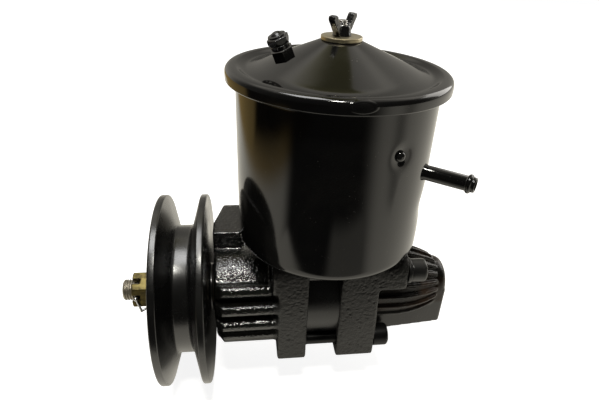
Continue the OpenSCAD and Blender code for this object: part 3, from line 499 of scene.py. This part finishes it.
by_node = {
    "front_housing": front_black, "rear_cover": cover_black, "pulley": pulley_black,
    "rotor_ring": paint("ring_satin_paint", satin_coat),
    "clamp_screws": screw_black, "spring_washers": screw_black, "flow_valve_plug": screw_black,
    "ring_seals": rubber, "oil_seal": rubber, "lid_gasket": rubber,
    "bearing_cage": bronze, "rear_bush": bronze,
    "drive_shaft": paint("dull_thread_steel", thread_coat),
    "castle_nut": zinc, "pulley_washer": zinc,
    "plug_washer": paint("soft_copper", copper_coat),
    "reservoir_gasket": paint("gasket_board", board_coat),
    "reservoir_can": gloss_black, "return_pipe": gloss_black, "lid": lid_paint(),
    "side_plug": fitting_black, "breather_body": fitting_black, "breather_cap": fitting_black,
    "lid_stud": paint("bright_stud_steel", stud_coat),
    "filter_element": paint("filter_cloth", cloth_coat),
    "lid_washer": paint("washer_zinc", washer_coat),
    "wing_nut": paint("rough_gloss_paint", wing_coat)}
body_of = {n: b for b, names in frame["record"]["behaviour"]["bodies"].items() for n in names}


def finish_as(ob, node):
    """Gives an object the finish of a CAD node."""
    ob.data.materials.clear()
    ob.data.materials.append(by_node.get(node, plain_steel))


def dress(ob, node):
    """Gives a piece the finish and body of the CAD node that it stands for, and hides that node."""
    finish_as(ob, node)
    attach(ob, body_of[node])
    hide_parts(node)
    return ob


for name, ob in nodes.items():
    finish_as(ob, name)


# Pieces that stand for CAD solids

def angle_from(a, centre):
    """Signed angle between two directions."""
    return np.angle(np.exp(1j * (a - centre)))


def thread_swell(radius, h0, h1, pitch, depth):
    """Cuts a helical thread: a triangle wave of the height less the turn, its crests and roots cut
    flat, between two heights and only on the surface at the given radius."""
    reach, steep, flat = 1.2, 1.6, 0.3

    def swell(r, a, h):
        wave = np.abs(2 * ((h / pitch - a / (2 * np.pi)) % 1) - 1)
        on = (r > radius - reach) & (h > h0) & (h < h1)
        return np.where(on, r - depth * np.clip(steep * wave - flat, 0, 1), r)
    return swell


def make_can():
    """Can wall turned about its axis. Two bell curves of the distance push it in: a round dish about
    the side plug and a shallow dent under the return pipe."""
    floor_r, lip = 30.0, box["reservoir_can"][1, 0]
    dish_depth, dish_r = 2.4, 5.8
    dent_depth, dent_turn, dent_height = 1.3, 0.26, 11.0
    outer = [[floor_r, CAN_Z0], [CAN_R, CAN_Z0], [CAN_R, CAN_Z1 - 3.6], [lip, CAN_Z1 - 2],
             [lip, CAN_Z1]]
    inner = [[CAN_R - SHEET, CAN_Z1], [CAN_R - SHEET, CAN_Z0 + SHEET], [floor_r, CAN_Z0 + SHEET]]
    soft = [0, 7, 3, 1.2, 0.5, 0.5, 5.5, 0]
    plug = box["side_plug"].mean(0)
    plug_a = math.atan2(plug[1], plug[0])
    dent_a, dent_z = math.radians(-20), CAN_Z0 + 38

    def swell(r, a, h):
        off = np.hypot(angle_from(a, plug_a) * CAN_R, h - plug[2])
        dish = dish_depth * np.exp(-(off / dish_r) ** 2)
        dent = dent_depth * np.exp(-(angle_from(a, dent_a) / dent_turn) ** 2
                                   - ((h - dent_z) / dent_height) ** 2)
        return r - (dish + dent) * ((h > CAN_Z0 + 8) & (h < CAN_Z1 - 10))
    outline = spread(fillet(outer + inner, soft, 8), 1.4)
    dress(revolve("reservoir_can_skin", outline, about_z, 280, swell), "reservoir_can")


def make_lid():
    """Pressed lid turned about the reservoir axis: a cone, a soft valley, and a rolled rim whose
    section is a superellipse, the cosine and sine of an angle each raised to a power below one."""
    r1, z0, z1 = box["lid"][1, 0], box["lid"][0, 2], box["lid"][1, 2]
    hole_r, seat = 3.5, z0 + 4.8
    roll_width, roll_height, power = 5.5, 5.0, 0.75
    top = [[hole_r, z1], [LID_TOP_R, z1], [LID_CONE_R, seat + 3], [LID_CONE_R + 7, seat + 1.4]]
    roll = np.linspace(math.radians(102), 0, 22)
    c, h = np.cos(roll), np.sin(roll)
    rim = np.stack([r1 - roll_width + roll_width * np.sign(c) * np.abs(c) ** power,
                    seat - 0.8 + roll_height * np.abs(h) ** power], 1).tolist()
    skirt = [[r1 - 0.1, z0 + 0.6], [r1 - 0.7, z0], [r1 - 2, z0], [r1 - 2, seat]]
    under = [[LID_CONE_R + 5, seat], [LID_CONE_R - 0.5, seat + 1.5],
             [LID_TOP_R - 0.5, z1 - SHEET], [hole_r, z1 - SHEET]]
    soft = [0, 2, 9, 6] + [0] * len(rim) + [0.5, 0.4, 0.3, 0.5] + [2, 3, 2, 0]
    outline = spread(fillet(top + rim + skirt + under, soft, 8), 1.6)
    dress(revolve("lid_skin", outline, about_z, 220), "lid")


def make_pulley():
    """V-belt pulley: a section of straight lines turned about the shaft, a quadratic arc at every
    corner."""
    x0, x1 = box["pulley"][:, 0]
    bore_r, hub_r, rim = 10.0, 19.0, box["pulley"][1, 1]
    front, rear, edge = x0 + 3, PULLEY_REAR_X, 5.2
    root, root_half = rim - 24.3, 6.25
    dish, mid = front + 2.5, (front + rear) / 2
    outline = [[bore_r, x0], [hub_r, x0], [hub_r, dish], [root - 6, dish], [rim - 14, front],
               [rim, front], [rim, front + edge], [root, mid - root_half], [root, mid + root_half],
               [rim, rear - edge], [rim, rear], [hub_r, rear], [hub_r, x1], [bore_r, x1]]
    soft = [0.5, 1, 2, 5, 5, 1.4, 1.0, 2.5, 2.5, 1.0, 1.6, 2, 1, 0.5]
    dress(revolve("pulley_skin", fillet(outline, soft, 6), about_shaft, 220), "pulley")


def make_shaft():
    """Shaft turned about its axis, with a helical thread and a rounded end at the front tip."""
    x0, x1 = box["drive_shaft"][:, 0]
    hub = box["pulley"][0, 0]
    axis_r, thread_r, seat_r, body_r, tail_r = 0.05, 8.25, 10.0, 12.5, 9.0
    neck, shoulder, step = hub + 3, box["pulley"][1, 0], box["rotor_ring"][0, 0] - 2.4
    corners = [[axis_r, x0], [thread_r, x0], [thread_r, neck], [seat_r, neck], [seat_r, shoulder],
               [body_r, shoulder], [body_r, step], [tail_r, step], [tail_r, x1], [axis_r, x1]]
    outline = spread(fillet(corners, [0, 2.2, 0, 0, 0, 0, 0, 0, 1, 0], 6), 0.2)
    outline = thin_out(outline, outline[:, 1] < hub + 4)
    thread = thread_swell(thread_r, x0 + 1.6, hub, 2.0, 0.8)
    dress(revolve("drive_shaft_skin", outline, about_shaft, 64, thread), "drive_shaft")


def make_stud():
    """Stud turned about the reservoir axis, with a helical thread at the top."""
    z0, z1 = box["lid_stud"][:, 2]
    axis_r, r = 0.05, 3.0
    corners = [[axis_r, z0], [r, z0], [r, z1], [axis_r, z1]]
    outline = spread(fillet(corners, [0, 0.4, 0.8, 0], 4), 0.12)
    outline = thin_out(outline, outline[:, 1] > z1 - 14)
    thread = thread_swell(r, z1 - 13, z1 - 0.5, 1.5, 0.7)
    dress(revolve("lid_stud_skin", outline, about_z, 48, thread), "lid_stud")


def make_pipe():
    """Return pipe turned about its own axis, which points straight out of the can: a small collar at
    its root, and near its open end a bead that is half an ellipse, the sine and cosine of an angle.
    Mirror images leave it out, as in the photograph."""
    away = math.radians(-37.6)
    out, up = np.array([math.cos(away), math.sin(away), 0]), np.array([0, 0, 1.0])
    side = np.array([-math.sin(away), math.cos(away), 0])
    start = np.array([0, 0, CAN_Z0 + 69.4])
    pipe_r, bore_r, foot, end = 5.0, 3.8, CAN_R - 4, CAN_R + 34

    def turn(r, a, h):
        across, above = (r * np.cos(a))[..., None], (r * np.sin(a))[..., None]
        return start + h[..., None] * out + across * side + above * up
    root = [[bore_r, foot], [pipe_r, foot], [pipe_r + 1.2, foot + 1], [pipe_r + 0.8, CAN_R],
            [pipe_r, CAN_R + 2], [pipe_r, end - 5.9]]
    b = np.linspace(0, np.pi, 9)
    bead = np.stack([pipe_r - 0.2 + 1.5 * np.sin(b), end - 4 - 1.7 * np.cos(b)], 1)
    tip = [[pipe_r, end - 2], [pipe_r - 0.1, end - 0.4], [pipe_r - 0.5, end], [bore_r, end - 0.3]]
    outline = np.vstack([root, bead, tip])
    dress(revolve("return_pipe_skin", outline, turn, 64), "return_pipe").visible_glossy = False


def make_split_washers():
    """Split spring washers: a rounded bar swept around each upper clamp screw for most of a turn,
    while it climbs evenly, so that its ends stand apart."""
    r0, r1, thick, ease, climb = 6.6, 9.9, 2.8, 0.1, 0.42
    section = fillet([[r0, ease], [r1, ease], [r1, thick - ease], [r0, thick - ease]], 0.5, 3)
    a = np.linspace(math.radians(8), math.radians(352), 90)[:, None]
    r, h = section[None, :, 0], section[None, :, 1] + climb * (0.5 - a / (2 * np.pi))
    ring = np.stack([h + 0 * r, r * np.cos(a), r * np.sin(a)], -1).reshape(-1, 3)
    lo, hi = box["spring_washers"]
    places = [(hi[0] - thick, y, (lo[2] + hi[2]) / 2) for y in (lo[1] + r1, hi[1] - r1)]
    verts = np.vstack([ring * [1, -np.sign(p[1]), 1] + p for p in np.array(places)])
    one = bar_faces(len(a), len(section))
    faces = [[i + k * len(ring) for i in f] for k in range(len(places)) for f in one]
    dress(to_object("spring_washers_skin", verts, faces), "spring_washers")


def make_valve_spring():
    """Flow valve spring: a round wire swept along a helix. In the pump it shortens towards the plug as the spool
    moves; here it is drawn at one length, with a mesh of its own."""
    lo, hi = box["flow_valve_spring"]
    wire, turns, n, sides = 0.8, 7, 210, 10
    u = np.linspace(0, 1, n)[:, None]
    b = np.linspace(0, 2 * np.pi, sides, endpoint=False)[None, :]
    r = (hi[1] - lo[1]) / 2 - wire + wire * np.cos(b)
    a = 2 * np.pi * turns * u
    x = lo[0] + wire + (hi[0] - lo[0] - 2 * wire) * u + wire * np.sin(b)
    y, z = (lo[1:] + hi[1:]) / 2
    verts = np.stack([x, y + r * np.cos(a), z + r * np.sin(a)], -1).reshape(-1, 3)
    spring = to_object("flow_valve_spring_skin", verts, bar_faces(n, sides))
    dress(spring, "flow_valve_spring")
    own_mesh(spring)


def behind_fins(x, y, z):
    """The front casting behind the fins of its barrel."""
    return x > FLANGE_X0 - 5.6


def flange_or_arm(x, y, z):
    """The rear casting's flange, and the arms of its upper screws."""
    return (x < FLANGE_X1 + 2) | ((np.abs(y) > 21) & (z > AXIS_Z + 19) & (x < ARM_X))


def set_widths(ob, heights, factors):
    """Scales each point's distance from the breather's axis, which stands square on the lid's cone,
    by a factor that a table gives for its height along the axis."""
    away, foot_r, cone_rise = math.radians(194.8), 37.7, 17.5
    slope = math.atan2(cone_rise, LID_CONE_R - LID_TOP_R)
    out = np.array([math.cos(away), math.sin(away), 0])
    foot = foot_r * out + [0, 0, box["lid"][1, 2] - (foot_r - LID_TOP_R) * math.tan(slope)]
    axis = math.sin(slope) * out + [0, 0, math.cos(slope)]
    off = points_of(ob) - foot
    h = off @ axis
    off += (off - h[:, None] * axis) * (np.interp(h, heights, factors) - 1)[:, None]
    ob.data.vertices.foreach_set("co", ((off + foot) * MM).ravel())


def make_castings():
    """Voxel skins of the castings, nuts, screws and fittings. The breather's hexagon is drawn slimmer
    and its collar and top wider, and mirror images leave it out, as in the photograph."""
    widths = {"breather_body": ([-0.3, 0, 6.6, 7.2], [1, 0.88, 0.88, 1.1]),
              "breather_cap": ([14, 14.8], [0.95, 1.12])}
    for node, voxel, rounds, softer in (
            ("front_housing", 0.92, 5, (behind_fins, 10)),
            ("rear_cover", 0.92, 5, (flange_or_arm, 12)),
            ("wing_nut", 0.3, 5, None), ("castle_nut", 0.42, 2, None),
            ("breather_body", 0.25, 3, None), ("breather_cap", 0.25, 3, None),
            ("clamp_screws", 0.7, 2, None), ("lid_washer", 0.35, 3, None)):
        piece = dress(cast_copy(node, voxel, rounds, softer), node)
        if node in widths:
            set_widths(piece, *widths[node])
            piece.visible_glossy = False


make_can()
make_lid()
make_pulley()
make_shaft()
make_stud()
make_pipe()
make_split_washers()
make_valve_spring()
make_castings()


# Camera, floor, surroundings and lamps

def add_posed(name, data, axes, where):
    """Object with the given local axes, as columns, at a place in metres."""
    m = np.eye(4)
    m[:3, :3], m[:3, 3] = axes, where
    ob = bpy.data.objects.new(name, data)
    bpy.context.scene.collection.objects.link(ob)
    ob.matrix_world = Matrix(m.tolist())
    return ob


def place_camera():
    """Camera at the photograph's place, from a fit of the pulley, can and castings to it. Picture
    measures are in pixels; the offset runs from the shaft axis along the camera's axes."""
    width, height, focal, centre = 600, 400, 480.0, (313.486, 222.681)
    sensor, nearest = 36.0, 0.01
    az, el, roll = -0.1641, 0.5418, 0.0612
    offset = np.array([-7.5946, 49.6252, 403.8629])
    back = np.array([math.sin(az) * math.cos(el), -math.cos(az) * math.cos(el), math.sin(el)])
    right = np.array([math.cos(az), math.sin(az), 0.0])
    up = np.cross(back, right)
    c, s = math.cos(roll), math.sin(roll)
    axes = np.array([c * right + s * up, -s * right + c * up, back]).T
    cam = bpy.data.cameras.new("camera")
    cam.sensor_width = sensor
    cam.lens = focal / width * sensor
    cam.shift_x, cam.shift_y = (width / 2 - centre[0]) / width, (centre[1] - height / 2) / width
    cam.clip_start = nearest
    where = (axes @ offset + [0, 0, AXIS_Z]) * MM
    bpy.context.scene.camera = add_posed("camera", cam, axes, where)


def floor_glow(t, at, far):
    """What mirror-like rays see of the floor: a pale sheet at the right, where a dimmer streak crosses
    it, at the left and close to the object. It ends in front of the object, turns brown and fades on
    the far left, and darkens in the object's shadow, under it and behind the pulley. Places are in
    metres, and turns in degrees from the X axis."""
    place = add(t, "ShaderNodeSeparateXYZ", Vector=at).outputs
    x, y = place["X"], place["Y"]
    turn = math_node(t, "ARCTAN2", y, x)
    off = ellipse(t, (turn, math.radians(-29), math.radians(10)))
    streak = math_node(t, "EXPONENT", combine(t, "MULTIPLY", off, off, -1.0))
    streak = math_node(t, "MULTIPLY", streak, ramp(t, far, 0.35, 0.42, 0.0, 0.5))
    right = math_node(t, "MULTIPLY", deg_ramp(t, turn, -76, -38),
                      math_node(t, "SUBTRACT", 1.0, streak))
    left = deg_ramp(t, turn, -138, -158)
    near = math_node(t, "MULTIPLY", ramp(t, y, -0.215, -0.165), ramp(t, x, -0.30, -0.25))
    patch = math_node(t, "MULTIPLY", ramp(t, y, -0.40, -0.31, 0.0, 0.38), ramp(t, x, -0.07, -0.01))
    fade = ramp(t, x, -0.72, -0.42)
    sheet = math_node(t, "MULTIPLY", combine(t, "MAXIMUM", right, left, near, patch), fade)
    behind = math_node(t, "MULTIPLY", deg_ramp(t, turn, 170, 158), deg_ramp(t, turn, 90, 120))
    under = ellipse(t, (x, 0.0, 0.1538), (y, 0.0474, 0.1053))
    past_pulley = ellipse(t, (x, -0.08, 0.07), (y, 0.10, 0.12))
    level = combine(t, "MULTIPLY", math_node(t, "MAXIMUM", sheet, behind),
                    ramp(t, under, 0.6, 1.3, 0.1, 1.0), ramp(t, past_pulley, 0.5, 1.0, 0.02, 1.0))
    far_left = ramp(t, x, -0.37, -0.50)
    tint = mix_colour(t, far_left, (1.0, 0.95, 0.82, 1), (0.52, 0.36, 0.13, 1))
    strength = ramp(t, level, 0.0, 1.0, 0.02, 1.05)
    return add(t, "ShaderNodeEmission", Color=tint, Strength=strength).outputs[0]


def build_floor():
    """Floor under the lowest point. The camera sees white paper with the object's shadow, its glow dimmed near the
    object by a painted shade; mirror-like rays see the sheet of floor_glow, and the rest of the light finds a
    plain pale floor."""
    half, gap = 3000, 1
    m, t, out = new_material("pale_floor")
    at = add(t, "ShaderNodeTexCoord").outputs["Object"]
    far = add(t, "ShaderNodeVectorMath", {"operation": "LENGTH"}, i0=at).outputs["Value"]
    soft = add(t, "ShaderNodeEmission", Color=(1.0, 0.98, 0.94, 1), Strength=0.45).outputs[0]
    # The paper glows less near the object: a painted shade around it.
    shaded_paper = add(t, "ShaderNodeEmission", Strength=ramp(t, far, 0.2, 1.0, 0.88, 1.0)).outputs[0]
    lit = add(t, "ShaderNodeBsdfDiffuse", Color=(0.5, 0.5, 0.5, 1)).outputs[0]
    white = add(t, "ShaderNodeAddShader", i0=shaded_paper, i1=lit).outputs[0]
    path = add(t, "ShaderNodeLightPath").outputs
    unseen = mix_shader(t, path["Is Glossy Ray"], soft, floor_glow(t, at, far))
    t.links.new(mix_shader(t, path["Is Camera Ray"], unseen, white), out.inputs[0])
    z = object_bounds()[0][2] / MM - gap
    corners = [[-half, -half, z], [half, -half, z], [half, half, z], [-half, half, z]]
    floor = to_object("floor", corners, [[0, 1, 2, 3]], False)
    floor.data.materials.append(m)


def build_room():
    """Surroundings, white to the camera. Other rays see a dim room: a pale wall behind the object,
    lighter towards its sides and along a band, with an olive board on it, and a ceiling that is
    darker in front."""
    world = bpy.data.worlds.new("studio")
    bpy.context.scene.world = world
    world.use_nodes = True
    w = world.node_tree
    w.nodes.clear()
    out = w.nodes.new("ShaderNodeOutputWorld")
    to = add(w, "ShaderNodeTexCoord").outputs["Generated"]
    to = add(w, "ShaderNodeSeparateXYZ", Vector=to).outputs
    turn = math_node(w, "ARCTAN2", to["Y"], to["X"])
    rise = math_node(w, "ARCSINE", to["Z"])
    wall = combine(w, "MULTIPLY", deg_ramp(w, turn, -10, 30), deg_ramp(w, turn, 165, 125),
                   deg_ramp(w, rise, 64, 44))
    sides = math_node(w, "ADD", deg_ramp(w, turn, 25, 78, 0.75, 0.2),
                      deg_ramp(w, turn, 86, 122, 0.0, 0.32))
    band = combine(w, "MULTIPLY", deg_ramp(w, rise, 36, 44), deg_ramp(w, rise, 52, 46), 0.35)
    board = combine(w, "MULTIPLY", deg_ramp(w, turn, 66, 69), deg_ramp(w, turn, 110, 84),
                    deg_ramp(w, rise, 45, 48))
    above = math_node(w, "MULTIPLY", deg_ramp(w, rise, 40, 55),
                      ramp(w, to["Y"], -0.25, 0.1, 0.06, 0.5))
    around = ramp(w, to["Y"], -0.25, 0.1, 0.03, 0.10)
    level = math_node(w, "MULTIPLY", wall, math_node(w, "ADD", sides, band))
    level = math_node(w, "MULTIPLY", combine(w, "ADD", level, above, around),
                      ramp(w, board, 0.0, 1.0, 1.0, 0.3))
    tint = mix_colour(w, board, (1.0, 0.95, 0.84, 1), (1.0, 0.92, 0.34, 1))
    room = add(w, "ShaderNodeBackground", Color=tint, Strength=level).outputs[0]
    white = add(w, "ShaderNodeBackground", Color=(1, 1, 1, 1), Strength=1.0).outputs[0]
    seen = add(w, "ShaderNodeLightPath").outputs["Is Camera Ray"]
    w.links.new(mix_shader(w, seen, room, white), out.inputs[0])


def add_lamp(name, where, aim, size, power, colour=(1, 1, 1)):
    """Rectangular lamp at a place in metres, pointed at another and unseen by the camera."""
    light = bpy.data.lights.new(name, "AREA")
    light.shape = "RECTANGLE"
    light.size, light.size_y = size
    light.energy, light.color = power, colour
    z = np.array(where, float) - np.array(aim, float)
    z /= np.linalg.norm(z)
    x = np.cross([0, 0, 1] if abs(z[2]) < 0.99 else [0, 1, 0], z)
    x /= np.linalg.norm(x)
    add_posed(name, light, np.stack([x, np.cross(z, x), z], 1), where).visible_camera = False


place_camera()
build_floor()
build_room()
add_lamp("ceiling", (-0.36, 0.05, 1.4), (-0.36, 0.05, 0), (0.55, 0.6), 9)
add_lamp("lamp", (-0.08, -0.48, 1.35), (-0.06, 0, 0.07), (0.17, 0.14), 9, (1.0, 0.98, 0.9))
add_lamp("window", (1.1, 0.5, 0.7), (0, 0, 0.12), (0.8, 0.8), 6, (1.0, 0.97, 0.93))
bpy.context.scene.view_settings.view_transform = "Standard"
